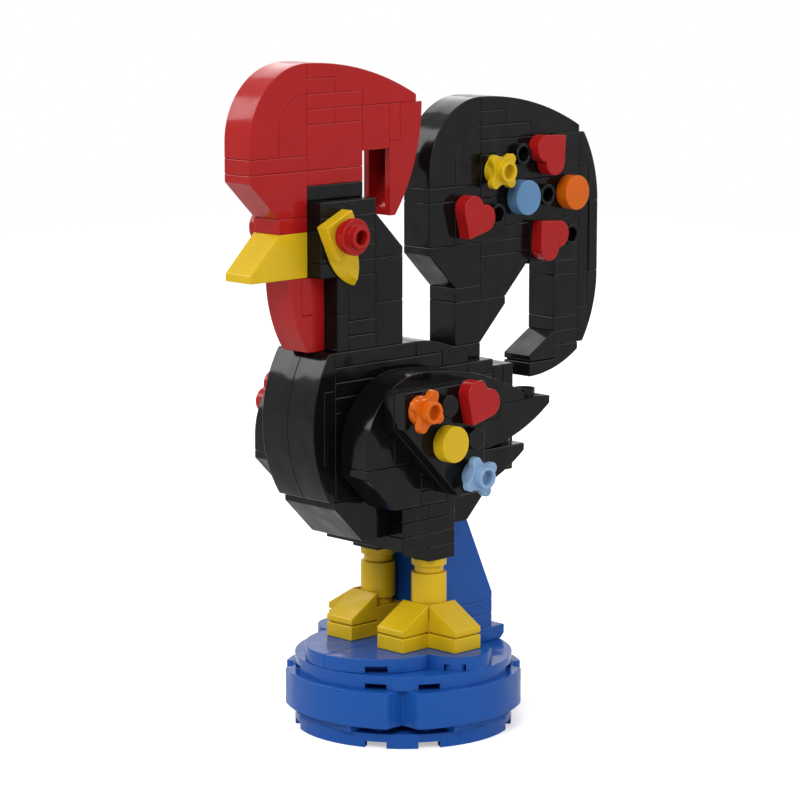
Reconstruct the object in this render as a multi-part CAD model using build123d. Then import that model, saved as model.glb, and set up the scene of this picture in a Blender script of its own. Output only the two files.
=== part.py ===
from build123d import *

import os

# A rooster of Barcelos built from stud-and-tube bricks, on a round base. It faces -X, with +Z up,
# and the origin is on the ground in the middle of the base. All lengths are in millimetres.
#
# The bricks set the grid. Places along X and Y are counted in stud pitches from the origin, and
# heights in plates from the ground, so the tables below hold shares of those two sizes.

# The brick grid
pitch = 8.0
plate_height_share = 0.4
plate = plate_height_share * pitch

# Studs, and the hollow that an ornament turns on
stud_radius_share = 0.3
stud_radius = stud_radius_share * pitch
stud_bore_share = 0.2
stud_bore_radius = stud_bore_share * pitch
stud_height = 1.7
side_stud_drop = 3.7
turning_clearance = 0.05
turning_gap = 0.1

# There are many small rounds, so those that nothing turns in are cut with few flat sides
round_sides = 16
stud_sides = 12
petal_sides = 8
arch_sides = 32

# Slopes and walls
slope_lip = 1.7
curve_lip = 1.6
bracket_thickness = 1.6
shell_wall = 1.5

# Ornaments, which keep to the grid: each is one plate high and has the room of one stud
round_radius = pitch / 2
round_foot_share = 0.4
round_foot_radius = round_foot_share * pitch
round_foot_height = plate / 2
petal_radius_share = 0.16
petal_radius = petal_radius_share * pitch
petal_reach_share = 0.44
petal_reach = petal_reach_share * pitch
flower_waist_share = 0.36
flower_waist_radius = flower_waist_share * pitch
heart_side_share = 0.75
heart_side = heart_side_share * pitch
heart_tip_share = 0.675
heart_tip_reach = heart_tip_share * pitch
leaf_tail_share = 1.04
leaf_tail = leaf_tail_share * pitch
leaf_edge_thickness = plate / 2

# Base
base_radius = 3 * pitch
rim_notch_width = 4.8
rim_notch_height = 1.4
rim_wall = 2.0
base_roof = 1.5
tube_radius = 3.25
step_notch_height = 1.2
overhang_chamfer = 1.2

# Directions
right = Vector(1, 0, 0)
left = Vector(-1, 0, 0)
up = Vector(0, 0, 1)
down = Vector(0, 0, -1)
near = Vector(0, -1, 0)

os.makedirs("parts", exist_ok=True)


def write(name, solids):
    """Write one sub-part, a single solid or several, to its own file."""
    pieces = [solid for item in solids for solid in item.solids()]
    whole = pieces[0] if len(pieces) == 1 else Compound(children=pieces)
    export_step(whole, os.path.join("parts", name + ".step"))


def block(x, y, z):
    """A block between two pitches along X, two along Y, and two plates up Z."""
    low = (x[0] * pitch, y[0] * pitch, z[0] * plate)
    size = ((x[1] - x[0]) * pitch, (y[1] - y[0]) * pitch, (z[1] - z[0]) * plate)
    return Pos(*low) * Box(*size, align=(Align.MIN, Align.MIN, Align.MIN))


def blocks(shares, half_width):
    """Blocks that straddle the middle plane, from rows of x from, x to, z from, z to."""
    return [block((x0, x1), (-half_width, half_width), (z0, z1)) for x0, x1, z0, z1 in shares]


def far_twins(solids):
    """The mirrored twins, on the far side, of pieces of the near side."""
    return [mirror(solid, about=Plane.XZ) for solid in solids]


def pair(solids):
    """Pieces of the near side with their twins."""
    return solids + far_twins(solids)


def across(curve, width):
    """A flat profile made solid, width pitches wide, half to each side."""
    return extrude(make_face(curve), amount=width * pitch / 2, both=True)


def stand(solid, x, z, along, upward, y=0):
    """Put a profile's first point at a place, its length and its height turned as given."""
    origin = (x * pitch, y * pitch, z * plate)
    return Plane(origin=origin, x_dir=along, z_dir=along.cross(upward)).location * solid


def curved_slope(length, height, steps, width=1, hollow=False):
    """A slope with a curved back, its high end first; steps are the plates left out below."""
    top = height * plate
    far = length * pitch
    under = []
    for count, step in enumerate(steps):
        under.append((count * pitch, step * plate))
        under.append(((count + 1) * pitch, step * plate))
    under.append((len(steps) * pitch, 0))
    under.append((far, 0))
    under.append((far, curve_lip))
    back = TangentArc((0, top), (far, curve_lip), tangent=(1, 0))
    body = across(Polyline((0, top), *under) + back, width)
    if hollow:
        body -= curved_hollow(top, far, len(steps) * pitch, width)
    return body


def curved_hollow(top, far, near_end, width):
    """The hollow below a curved slope, one wall in from its back, its end and its sides."""
    roof_end = (far, curve_lip - shell_wall)
    roof = TangentArc((0, top - shell_wall), roof_end, tangent=(1, 0))
    under_roof = across(Polyline((0, top - shell_wall), (0, 0), (far, 0), roof_end) + roof, width)
    room = Pos(near_end + shell_wall, 0, 0) * Box(
        far - near_end - 2 * shell_wall,
        top,
        width * pitch - 2 * shell_wall,
        align=(Align.MIN, Align.MIN, Align.CENTER),
    )
    return under_roof & room


def double_curved_slope(width=1):
    """A slope four pitches long that bulges in its middle, open below to clear a plate."""
    far = 4 * pitch
    top = 2 * plate
    under = Polyline(
        (0, curve_lip),
        (0, 0),
        (far / 4, 0),
        (far / 4, plate),
        (far * 3 / 4, plate),
        (far * 3 / 4, 0),
        (far, 0),
        (far, curve_lip),
    )
    back = ThreePointArc((0, curve_lip), (far / 2, top), (far, curve_lip))
    return across(under + back, width)


def straight_slope(length, flat, height, width=1):
    """A slope with a level top of flat pitches, then a straight fall to its lip."""
    top = height * plate
    far = length * pitch
    points = [(0, 0), (0, top), (flat * pitch, top), (far, slope_lip), (far, 0)]
    if flat == 0:
        points.pop(2)
    return across(Polyline(*points, close=True), width)


def quarter_round(wide, tall):
    """A brick with the outline of a quarter of an ellipse, rising to its crown at the origin."""
    oval = scale(RegularPolygon(wide, arch_sides), by=(1, tall / wide, 1))
    quarter = oval & Rectangle(wide, tall, align=(Align.MAX, Align.MIN))
    return extrude(quarter, amount=pitch / 2, both=True)


def arch():
    """A quarter arch two pitches wide and six plates high, its leg first."""
    return Pos(2 * pitch, 0) * (quarter_round(2 * pitch, 6 * plate) - quarter_round(pitch, 4 * plate))


def arch_filler():
    """The quarter-round brick that fills an arch."""
    return Pos(pitch, 0) * quarter_round(pitch, 4 * plate)


def disc(radius, low, high):
    """A round slice between two heights."""
    return Pos(0, 0, low) * Cylinder(radius, high - low, align=(Align.CENTER, Align.CENTER, Align.MIN))


def rod(radius, low, high, sides=round_sides):
    """A slice between two heights with flat sides in place of a round one."""
    return Pos(0, 0, low) * extrude(RegularPolygon(radius, sides), amount=high - low)


def stud(hollow=False):
    """A stud on the ground plane, pointing up."""
    knob = rod(stud_radius, 0, stud_height, stud_sides)
    if hollow:
        knob -= rod(stud_bore_radius, 0, stud_height, stud_sides)
    return knob


def near_side(x, y, z, turn=0):
    """A place on a near-side face at real sizes, where up points away from the model."""
    return Plane(origin=(x, y, z), x_dir=right, z_dir=near).location * Rot(0, 0, turn)


def with_side_studs(brick, columns, top, half_width):
    """A brick with a hollow stud on both sides at each column, a set drop below its top."""
    height = top * plate - side_stud_drop
    for column in columns:
        knob = near_side(column * pitch, -half_width * pitch, height) * stud(hollow=True)
        brick = brick + knob + mirror(knob, about=Plane.XZ)
    return brick


# Ornaments, each lying on the ground plane with a bore below for the stud it turns on

bore = disc(stud_radius + turning_clearance, 0, stud_height)


def round_tile():
    return rod(round_radius, 0, plate) - bore


def round_plate():
    body = rod(round_foot_radius, 0, round_foot_height) + rod(round_radius, round_foot_height, plate)
    return body + Pos(0, 0, plate) * stud(hollow=True) - bore


def flower():
    """A round plate with four petals round its upper half."""
    petals = RegularPolygon(flower_waist_radius, round_sides)
    for place in PolarLocations(petal_reach, 4):
        petals += place * RegularPolygon(petal_radius, petal_sides)
        petals += place * Pos(-petal_radius, 0) * Rectangle(2 * petal_radius, 2 * petal_radius)
    body = rod(round_foot_radius, 0, round_foot_height)
    body += Pos(0, 0, round_foot_height) * extrude(petals, amount=plate - round_foot_height)
    return body + Pos(0, 0, plate) * stud(hollow=True) - bore


def heart():
    """A heart with its tip along +X: a square stood on its corner, with a lobe on two sides."""
    half = heart_side / 2
    square = Rectangle(heart_side, heart_side)
    lobe = RegularPolygon(half, round_sides)
    centre = heart_tip_reach - heart_side / 2**0.5
    outline = Pos(centre, 0) * Rot(0, 0, 45) * (square + Pos(-half, 0) * lobe + Pos(0, half) * lobe)
    return extrude(outline, amount=plate) - bore


def leaf():
    """The eye's leaf: square round its stud, then drawn out along +X to a thin point."""
    half = pitch / 2
    far = half + leaf_tail
    edges = Polyline((half, half), (-half, half), (-half, -half), (half, -half))
    edges += TangentArc((half, -half), (far, 0), tangent=(1, 0))
    edges += TangentArc((half, half), (far, 0), tangent=(1, 0))
    body = extrude(make_face(edges), amount=plate)
    slope = Polyline((half, plate), (far, leaf_edge_thickness), (far, plate), close=True)
    body -= Rot(90, 0, 0) * extrude(make_face(slope), amount=pitch, both=True)
    return body + Pos(0, 0, plate) * stud() - bore


# Round base

rim_notch_shares = [(2.5, 1.5), (2.5, -1.5), (-2.5, 1.5), (-2.5, -1.5)]


def notched_round_plate(level):
    """A round plate on a level, with notches under its rim beside the outermost studs."""
    body = Pos(0, 0, level * plate) * disc(base_radius, 0, plate)
    cutter = Box(2 * rim_wall + pitch, rim_notch_width, 2 * rim_notch_height)
    for far, side in rim_notch_shares:
        body -= Pos(far * pitch, side * pitch, level * plate) * cutter
        body -= Pos(side * pitch, far * pitch, level * plate) * Rot(0, 0, 90) * cutter
    return body


hollow = disc(base_radius - rim_wall, 0, plate - base_roof)
tubes = rod(stud_radius, 0, plate - base_roof, stud_sides)
tube = rod(tube_radius, 0, plate - base_roof, stud_sides) - tubes
tube_shares = [(x, y) for x in (-1, 1) for y in (-1, 1)]
for tube_x, tube_y in tube_shares:
    tubes += Pos(tube_x * pitch, tube_y * pitch) * tube
write("base_bottom_plate", [notched_round_plate(0) - (hollow - tubes)])

core_reach_share = 2.4
core_side_share = 2
core = block((-core_reach_share, core_reach_share), (-core_side_share, core_side_share), (1, 4))
core += block((-core_side_share, core_side_share), (-core_reach_share, core_reach_share), (1, 4))
tongue = Pos(0, 0, plate) * Box(
    2 * base_radius, 2 * pitch, bracket_thickness, align=(Align.CENTER, Align.CENTER, Align.MIN)
)
core += tongue + Rot(0, 0, 90) * tongue
panel_middle = core_reach_share * pitch
panel_backing = Pos(panel_middle, 0, plate + bracket_thickness) * Box(
    plate, 2 * pitch, pitch, align=(Align.MIN, Align.CENTER, Align.MIN)
)
for quarter in (0, 90, 180, 270):
    core += Rot(0, 0, quarter) * panel_backing
write("base_core", [core])

panel = Rot(0, 0, -90) * double_curved_slope()
panel = Pos(panel_middle, 2 * pitch, plate + bracket_thickness + pitch / 2) * panel
write("base_panels", [Rot(0, 0, quarter) * panel for quarter in (0, 90, 180, 270)])

upper_level = 4
step_level = 5
rim_stud_shares = [(-0.5, -2.5), (0.5, -2.5), (-0.5, 2.5), (0.5, 2.5)]
upper_plate = notched_round_plate(upper_level)
for stud_x, stud_y in rim_stud_shares:
    upper_plate += Pos(stud_x * pitch, stud_y * pitch, step_level * plate) * stud()
write("base_top_plate", [upper_plate])

# Step on the base: two quarter-round plates, two round-ended lobes in halves, and a long plate


def step_slot(x, y, turn):
    """A slot under a rim of the step, running outwards from a stud."""
    slot = Box(pitch, rim_notch_width, 2 * step_notch_height)
    return Pos(x * pitch, y * pitch, step_level * plate) * Rot(0, 0, turn) * slot


stud_room = rod(stud_radius + turning_clearance, 0, stud_height, stud_sides)
quarter_disc = Pos(-pitch, 0, step_level * plate) * disc(2 * pitch, 0, plate)
quarter_plate = quarter_disc & block((-3, -1), (-2, 0), (5, 6))
quarter_plate -= step_slot(-2.5, -1.5, 45)
lobe = block((-1, 1), (-2, -1), (5, 6)) + Pos(0, -2 * pitch, step_level * plate) * disc(pitch, 0, plate)
for stud_x, stud_y in rim_stud_shares[:2]:
    lobe -= Pos(stud_x * pitch, stud_y * pitch, step_level * plate) * stud_room
lobe -= step_slot(-0.8, -2.8, 45) + step_slot(0.8, -2.8, -45)
lobe_halves = [lobe & block((-1, 0), (-3, -1), (5, 6)), lobe & block((0, 1), (-3, -1), (5, 6))]
step_plate = block((-1, 3), (-1, 1), (5, 6))
overhang_edge = step_plate.edges().group_by(Axis.Z)[0].sort_by(Axis.X)[-1]
step_plate = chamfer(overhang_edge, overhang_chamfer)
write("step_plates", pair([quarter_plate] + lobe_halves) + [step_plate])

rear_support_shares = [(0.5, 2.5, 6, 7), (0.5, 2.5, 7, 8)]
steep_slope = stand(straight_slope(2, 1, 6, 2), 0.5, 8, right, up)
write("rear_support", blocks(rear_support_shares, 1) + [steep_slope])

# Feet and legs

foot_plate = block((-1.5, 0.5), (-1.5, -0.5), (6, 7)) + block((-0.5, 0.5), (-2.5, -1.5), (6, 7))
ankle_plate = block((-0.5, 0.5), (-1.5, -0.5), (7, 8))
write("foot_plates", pair([foot_plate, ankle_plate]))

toe = straight_slope(1, 0, 2)
front_toe = stand(toe, -0.5, 7, left, up, y=-1)
side_toe = stand(toe, 0, 7, near, up, y=-1.5)
write("toe_slopes", pair([front_toe, side_toe]))


def leg_round(low, high):
    """A round brick or plate of the leg, with its narrow foot."""
    foot = rod(round_foot_radius, 0, round_foot_height)
    body = rod(round_radius, round_foot_height, (high - low) * plate)
    return Pos(0, -pitch, low * plate) * (foot + body)


write("leg_rounds", pair([leg_round(8, 11), leg_round(11, 12)]))

# Belly

thigh_plate = block((-0.5, 0.5), (-1.5, -0.5), (12, 13))
wide_belly_shares = [(-1.5, 0.5, 13, 14), (-1.5, 0.5, 14, 15), (-1.5, -0.5, 15, 16), (-0.5, 0.5, 15, 16)]
top_belly_shares = [(-1.5, 0.5, 16, 17)]
write("belly_plates", pair([thigh_plate]) + blocks(wide_belly_shares, 1.5) + blocks(top_belly_shares, 1))

belly_slope = straight_slope(2, 1, 3, 2)
front_belly_slope = stand(belly_slope, -1.5, 17, left, down)
rear_belly_slope = stand(belly_slope, 0.5, 17, right, down)
write("belly_slopes", [front_belly_slope, rear_belly_slope])

# Body

body_brick_shares = [(-3.5, 0.5, 17, 20), (0.5, 2.5, 17, 20), (-3.5, -1.5, 20, 23), (-1.5, 2.5, 20, 23)]
write("body_bricks", blocks(body_brick_shares, 1))

back_plate_shares = [
    (-3.5, -1.5, 23, 24),
    (0.5, 2.5, 23, 24),
    (-3.5, 1.5, 24, 25),
    (1.5, 2.5, 24, 25),
    (-3.5, 0.5, 25, 26),
    (-3.5, -0.5, 26, 27),
]
write("back_plates", blocks(back_plate_shares, 1))
write("back_curved_slope", [stand(curved_slope(2, 2, (1,), 2), -0.5, 25, right, up)])

side_plate_shares = [(-3.9, -3.5, 19.5, 24.5), (2.5, 2.9, 17, 24.5), (2.9, 3.3, 17, 24.5)]
write("body_side_plates", blocks(side_plate_shares, 1))

chest_slopes = [stand(double_curved_slope(), -3.5, 17, up, left, y=side) for side in (-0.5, 0.5)]
write("chest_curved_slopes", chest_slopes)

bracket = block((-1.5, 0.5), (-1, 0), (23, 24))
bracket += Pos(-1.5 * pitch, -pitch, 24 * plate) * Box(
    2 * pitch, bracket_thickness, 2 * pitch, align=(Align.MIN, Align.MAX, Align.MAX)
)
write("wing_brackets", pair([bracket]))

# Neck

neck_brick_shares = [(-3, -2, 29, 32), (-2, -1, 30, 33), (-2, -1, 27, 30)]
eye_brick = with_side_studs(block((-4, -3), (-1, 1), (33, 36)), (-3.5,), 36, 1)
nape_slope = stand(straight_slope(1, 0, 3, 2), -2, 33, right, up)
write("neck_bricks", blocks(neck_brick_shares, 1) + [eye_brick, nape_slope])

neck_plate_shares = [
    (-4, -3, 36, 37),
    (-3, -2, 36, 37),
    (-4, -3, 32, 33),
    (-3, -2, 35, 36),
    (-3, -2, 34, 35),
    (-3, -2, 33, 34),
    (-3, -2, 32, 33),
    (-3, -2, 28, 29),
    (-3, -2, 27, 28),
    (-3.4, -3, 27, 29.5),
    (-3.4, -3, 29.5, 32),
]
crown_plate_shares = [(-4, -2, 37, 38)]
write("neck_plates", blocks(neck_plate_shares, 1) + blocks(crown_plate_shares, 0.5))

# Wattle and beak

wattle_plate_shares = [(-3.8, -3.4, 27, 32), (-4.2, -3.8, 29.5, 32)]
wattle_slope = stand(curved_slope(2, 2, (1,)), -3.8, 32, down, left)
write("wattle", blocks(wattle_plate_shares, 0.5) + [wattle_slope])

write("beak", [stand(straight_slope(2, 1, 3), -4, 32, left, up)])

# Comb

comb_block_shares = [
    (-5, -4, 35, 36),
    (-6, -4, 39, 40),
    (-4, -2, 38, 39),
    (-4, -2, 39, 42),
    (-4, -3, 42, 43),
    (-3, -2, 42, 43),
    (-4, -2, 43, 44),
    (-4, -3, 44, 45),
    (-2, -1, 40, 43),
    (-1, -0.6, 40.5, 43),
]
write("comb_bricks", blocks(comb_block_shares, 0.5))
write("comb_inverted_slope", [stand(straight_slope(2, 1, 3), -4, 39, left, down)])
write("comb_arch", [stand(arch(), -6, 40, right, up), stand(arch_filler(), -5, 40, right, up)])

comb_crest = stand(curved_slope(4, 3, (2, 1)), -4, 43, right, up)
comb_tail = stand(curved_slope(3, 3, (1,), hollow=True), -1, 43, down, right)
write("comb_curved_slopes", [comb_crest, comb_tail])

# Tail

tail_plain_brick_shares = [(0.5, 1.5, 33, 36), (5.5, 6.5, 37, 40), (5.5, 6.5, 27, 30)]
tail_stud_brick_shares = [
    (3.5, 5.5, 37, 40),
    (2.5, 3.5, 36, 39),
    (3.5, 6.5, 34, 37),
    (1.5, 3.5, 33, 36),
    (4.5, 6.5, 31, 34),
]
tail_bricks = blocks(tail_plain_brick_shares, 0.5)
for row in tail_stud_brick_shares:
    stud_columns = [row[0] + 0.5 + count for count in range(int(row[1] - row[0]))]
    tail_bricks.append(with_side_studs(blocks([row], 0.5)[0], stud_columns, row[3], 0.5))
write("tail_bricks", tail_bricks)

tail_plate_shares = [
    (1.5, 2.5, 25, 26),
    (1.5, 2.5, 29, 30),
    (2.5, 4.5, 32, 33),
    (3.5, 4.5, 33, 34),
    (0.5, 2.5, 36, 37),
    (2.5, 3.5, 39, 40),
    (2.5, 4.5, 40, 41),
    (2.5, 3.5, 41, 42),
    (5.5, 6.5, 30, 31),
    (5.5, 6.5, 26, 27),
    (5.5, 6.5, 25, 26),
]
write("tail_plates", blocks(tail_plate_shares, 0.5))

tail_slope = straight_slope(2, 1, 3)
tail_inverted_slopes = [
    stand(tail_slope, 1.5, 29, right, down),
    stand(tail_slope, 2.5, 32, right, down),
    stand(tail_slope, 2.5, 33, left, down),
]
write("tail_inverted_slopes", tail_inverted_slopes)
write("tail_arch", [stand(arch(), 0.5, 37, right, up), stand(arch_filler(), 1.5, 37, right, up)])

tail_side_plate_shares = [(6.5, 6.9, 27.5, 37.5), (6.9, 7.3, 30, 35)]
write("tail_side_plates", blocks(tail_side_plate_shares, 0.5))

tail_crest = stand(curved_slope(4, 3, (2, 1)), 2.5, 40, right, up)
tail_upper_bend = stand(curved_slope(2, 2, (1,)), 6.5, 35, up, right)
tail_lower_bend = stand(curved_slope(2, 2, (1,)), 6.5, 30, down, right)
curl_bend = stand(curved_slope(2, 2, (1,)), 4.5, 25, right, down)
curl_slope = stand(straight_slope(1, 0, 2), 5.5, 24, left, up)
write("tail_curved_slopes", [tail_crest, tail_upper_bend, tail_lower_bend, curl_bend, curl_slope])

# Wings, built in a grid of their own that the bracket sets off from the body's

wing_inner = -1 - bracket_thickness / pitch
wing_middle = wing_inner - 0.5
wing_outer = wing_inner - 1
wing_offset_share = -0.5


def wing_level(level):
    """A level of the body's grid moved to the wing's, in plates."""
    return level + wing_offset_share


def wing_block(x0, x1, z0, z1):
    return block((x0, x1), (wing_outer, wing_inner), (wing_level(z0), wing_level(z1)))


def wing_stand(solid, x, z, along, upward):
    return stand(solid, x, wing_level(z), along, upward, y=wing_middle)


wing_arch = wing_stand(arch(), -3.5, 20, right, up)
wing_filler = wing_stand(arch_filler(), -2.5, 20, right, up)
write("wing_arches", pair([wing_arch, wing_filler]))
write("wing_curved_slopes", pair([wing_stand(curved_slope(4, 3, (2, 1)), -1.5, 23, right, up)]))

wing_block_shares = [
    (-1.5, 0.5, 20, 22),
    (-1.5, 1.5, 22, 23),
    (-1.5, 0.5, 23, 24),
    (-1.5, -0.5, 24, 25),
    (-1.5, -0.5, 17, 18),
    (-1.5, -0.5, 18, 19),
    (-1.5, 0.5, 19, 20),
]
wing_slope = wing_stand(straight_slope(2, 1, 3), -1.5, 20, left, down)
write("wing_bricks", pair([wing_block(*row) for row in wing_block_shares] + [wing_slope]))

feather_stud_share = 2.5
feathers = []
feather_corners = [(0.5, 23), (-0.5, 20)]
for feather_x, feather_top in feather_corners:
    feather = wing_stand(curved_slope(3, 3, (1,)), feather_x, feather_top, right, down)
    stud_place = Pos(
        (feather_x + feather_stud_share) * pitch, wing_middle * pitch, wing_level(feather_top) * plate
    )
    feathers.append(feather + stud_place * stud())
lower_stud_x = (feather_corners[1][0] + feather_stud_share) * pitch
lower_stud_room = Pos(lower_stud_x, wing_middle * pitch, wing_level(feather_corners[1][1]) * plate)
feathers[0] -= lower_stud_room * stud_room
write("wing_feathers", pair(feathers))

# Stud panels: two wedge plates on each wing's outer face, the outer one with studs. The far wing's
# panel sits further back and lower than the near one's.

panel_outline_shares = [(-1.5, 1.5), (-1.5, 0.5), (0.5, -1.5), (1.5, -1.5), (1.5, 1.5)]
panel_points = [(x * pitch, y * pitch) for x, y in panel_outline_shares]
panel_layer = extrude(make_face(Polyline(*panel_points, close=True)), amount=plate)
panel_stud_shares = [(-1, 1), (0, 1), (1, 1), (0, 0), (1, 0), (1, -1)]
studded_layer = panel_layer
for stud_x, stud_y in panel_stud_shares:
    studded_layer += Pos(stud_x * pitch, stud_y * pitch, plate) * stud()
panel_face = wing_outer * pitch
near_panel_shares = (-1.4, 8.4)
far_panel_shares = (-0.75, 8)


def panel(middle_shares):
    """Both layers of a panel whose middle is at a place in pitches, X and Z."""
    x, z = (share * pitch for share in middle_shares)
    return [near_side(x, panel_face, z) * panel_layer, near_side(x, panel_face - plate, z) * studded_layer]


write("wing_panels", panel(near_panel_shares) + far_twins(panel(far_panel_shares)))

# Ornaments on their studs: name, maker, stud place in X and Z, carrying face, turn in degrees


def tail_stud(column, top):
    return (column * pitch, top * plate - side_stud_drop)


def panel_stud(middle_shares, x, y):
    return ((middle_shares[0] + x) * pitch, (middle_shares[1] + y) * pitch)


tail_face = -pitch / 2
wing_face = panel_face - 2 * plate
eye_face = -pitch
eye_place = (-3.5 * pitch, 36 * plate - side_stud_drop)

both_sides = [
    ("tail_flower", flower(), tail_stud(3, 39), tail_face, 50),
    ("tail_heart_upper", heart(), tail_stud(5, 40), tail_face, 41.5),
    ("tail_heart_front", heart(), tail_stud(2, 36), tail_face, -121),
    ("tail_heart_lower", heart(), tail_stud(5, 34), tail_face, 132),
    ("tail_tile_middle", round_tile(), tail_stud(4, 37), tail_face, 0),
    ("tail_tile_rear", round_tile(), tail_stud(6, 37), tail_face, 0),
    ("eye_leaf", leaf(), eye_place, eye_face, -65.4),
    ("eye_disc", round_plate(), eye_place, eye_face - plate - turning_gap, 0),
]
near_wing = [
    ("wing_flower_upper", flower(), panel_stud(near_panel_shares, -1, 1), wing_face, -16),
    ("wing_heart", heart(), panel_stud(near_panel_shares, 1, 1), wing_face, -121),
    ("wing_tile", round_tile(), panel_stud(near_panel_shares, 0, 0), wing_face, 0),
    ("wing_flower_lower", flower(), panel_stud(near_panel_shares, 1, -1), wing_face, 27),
]
far_wing = [
    ("wing_flower_upper", flower(), panel_stud(far_panel_shares, 1, 1), wing_face, -16),
    ("wing_heart", heart(), panel_stud(far_panel_shares, -1, 1), wing_face, -34),
    ("wing_tile", round_tile(), panel_stud(far_panel_shares, 0, 0), wing_face, 0),
    ("wing_flower_lower", flower(), panel_stud(far_panel_shares, 1, -1), wing_face, 27),
]


def seated(ornament, place, face, turn):
    """An ornament on its stud, a turning gap off the face that carries it."""
    return near_side(place[0], face - turning_gap, place[1], turn) * ornament


for name, *where in both_sides + near_wing:
    write("near_" + name, [seated(*where)])
for name, *where in both_sides + far_wing:
    write("far_" + name, far_twins([seated(*where)]))
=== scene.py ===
import itertools
import math

import bpy
from mathutils import Matrix, Vector


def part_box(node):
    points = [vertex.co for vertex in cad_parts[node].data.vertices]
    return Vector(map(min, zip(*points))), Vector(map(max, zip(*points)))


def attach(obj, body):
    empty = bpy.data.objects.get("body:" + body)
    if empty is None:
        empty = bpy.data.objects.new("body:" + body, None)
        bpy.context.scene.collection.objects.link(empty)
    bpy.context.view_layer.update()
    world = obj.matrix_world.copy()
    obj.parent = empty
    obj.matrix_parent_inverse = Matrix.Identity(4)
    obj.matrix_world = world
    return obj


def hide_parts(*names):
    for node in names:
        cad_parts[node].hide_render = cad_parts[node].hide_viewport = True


# A rooster of Barcelos built from stud-and-tube bricks. Each brick is modelled again, with its
# moulded edges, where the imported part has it. Lengths are in metres. Places in rows of bricks, in
# names that end in share or shares and in calls of block, stand and moved are counted from the
# origin, in stud pitches along X and Y and in plates up Z.

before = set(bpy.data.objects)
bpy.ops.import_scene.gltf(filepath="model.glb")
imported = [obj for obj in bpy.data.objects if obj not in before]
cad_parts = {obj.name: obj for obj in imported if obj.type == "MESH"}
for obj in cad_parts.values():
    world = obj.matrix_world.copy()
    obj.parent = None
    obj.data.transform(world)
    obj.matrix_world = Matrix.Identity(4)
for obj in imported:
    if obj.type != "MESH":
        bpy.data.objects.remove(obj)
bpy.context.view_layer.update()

# The brick grid, read from the beak, which is one stud or 8 mm wide and three plates high

beak_low, beak_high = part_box("beak")
pitch = beak_high.y - beak_low.y
plate = (beak_high.z - beak_low.z) / 3
millimetre = pitch / 8

# Studs, and the hollows that ornaments turn on

stud_radius = 2.4 * millimetre
stud_height = 1.7 * millimetre
stud_bore_radius = 1.6 * millimetre
side_stud_drop = 3.7 * millimetre
turning_clearance = 0.05 * millimetre
turning_gap = 0.1 * millimetre
open_stud_depth = 2.9 * millimetre
open_stud_floor = 0.05 * millimetre
side_bore_radius = 1.55 * millimetre
side_bore_depth = 2.4 * millimetre

# How far joined pieces run into each other

sunk = 0.2 * millimetre

# Moulded edges, slopes and walls

edge_round = 0.2 * millimetre
edge_steps = 2
edge_angle = math.radians(35)
flat_angle = math.radians(1)
weld_distance = 0.02 * millimetre
slope_lip = 1.7 * millimetre
curve_lip = 1.6 * millimetre
shell_wall = 1.5 * millimetre
groove_height = 0.35 * millimetre
groove_depth = 0.4 * millimetre
arc_steps = 24
round_sides = 64

# Ornaments, which keep to the grid: each is one plate high and has the room of one stud

round_radius = 0.4875 * pitch
round_foot_radius = 0.4 * pitch
round_foot_height = plate / 2
petal_radius = 0.16 * pitch
petal_reach = 0.44 * pitch
flower_waist_radius = 0.36 * pitch
petal_steps = 14
heart_side = 0.75 * pitch
heart_tip_reach = 0.675 * pitch
leaf_tail = 1.04 * pitch
blade_edge = 0.5 * millimetre
blade_height = 2.2 * millimetre
blade_taper = (0.8, 0.62, 1)

# Base

base_radius = 3 * pitch
base_sides = 128
rim_notch_width = 4.8 * millimetre
rim_notch_height = 1.4 * millimetre
rim_wall = 2 * millimetre
base_roof = 1.5 * millimetre
tube_radius = 3.25 * millimetre
step_notch_height = 1.5 * millimetre
overhang_chamfer = 1.2 * millimetre
bracket_thickness = 1.6 * millimetre

# Bricks across the middle plane: half of one, two and three studs' width, in pitches

one_wide = 0.5
two_wide = 1
three_wide = 1.5

# Directions, and quarter turns in degrees

right = Vector((1, 0, 0))
left = Vector((-1, 0, 0))
away = Vector((0, 1, 0))
near = Vector((0, -1, 0))
up = Vector((0, 0, 1))
down = Vector((0, 0, -1))
quarters = (0, 90, 180, 270)

# Modelling by hand: picking, placing, joining and cutting


def pick(*objects):
    """Select these objects alone, the first one active."""
    bpy.ops.object.select_all(action="DESELECT")
    for obj in objects:
        obj.select_set(True)
    bpy.context.view_layer.objects.active = objects[0]


def settle(obj):
    """Put the object's place, turn and scale into its mesh."""
    pick(obj)
    bpy.ops.object.transform_apply(location=True, rotation=True, scale=True)
    return obj


def lay(obj, origin, along, upward):
    """Move a mould from the origin so that its X runs along and its Y upward."""
    width = along.cross(upward)
    turn = Matrix((along, upward, width)).transposed().to_4x4()
    obj.matrix_world = Matrix.Translation(origin) @ turn
    return settle(obj)


def stand(obj, x, z, along, upward, y=0):
    """Lay a mould with its first corner at a place counted in pitches and plates."""
    return lay(obj, Vector((x * pitch, y * pitch, z * plate)), along, upward)


def join(pieces):
    """Make one object of several."""
    pick(*pieces)
    if len(pieces) > 1:
        bpy.ops.object.join()
    return bpy.context.object


def copied(obj):
    """A copy with a mesh of its own."""
    twin = obj.copy()
    twin.data = obj.data.copy()
    bpy.context.scene.collection.objects.link(twin)
    return twin


def flipped(obj):
    """Mirror an object in the middle plane and turn its faces outwards again."""
    obj.scale = (1, -1, 1)
    settle(obj)
    face_outwards(obj)
    return obj


def mirrored(obj):
    """A copy on the far side of the middle plane."""
    return flipped(copied(obj))


def open_whole(obj):
    """Enter edit mode with the whole object selected."""
    pick(obj)
    bpy.ops.object.mode_set(mode="EDIT")
    bpy.ops.mesh.select_all(action="SELECT")


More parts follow.
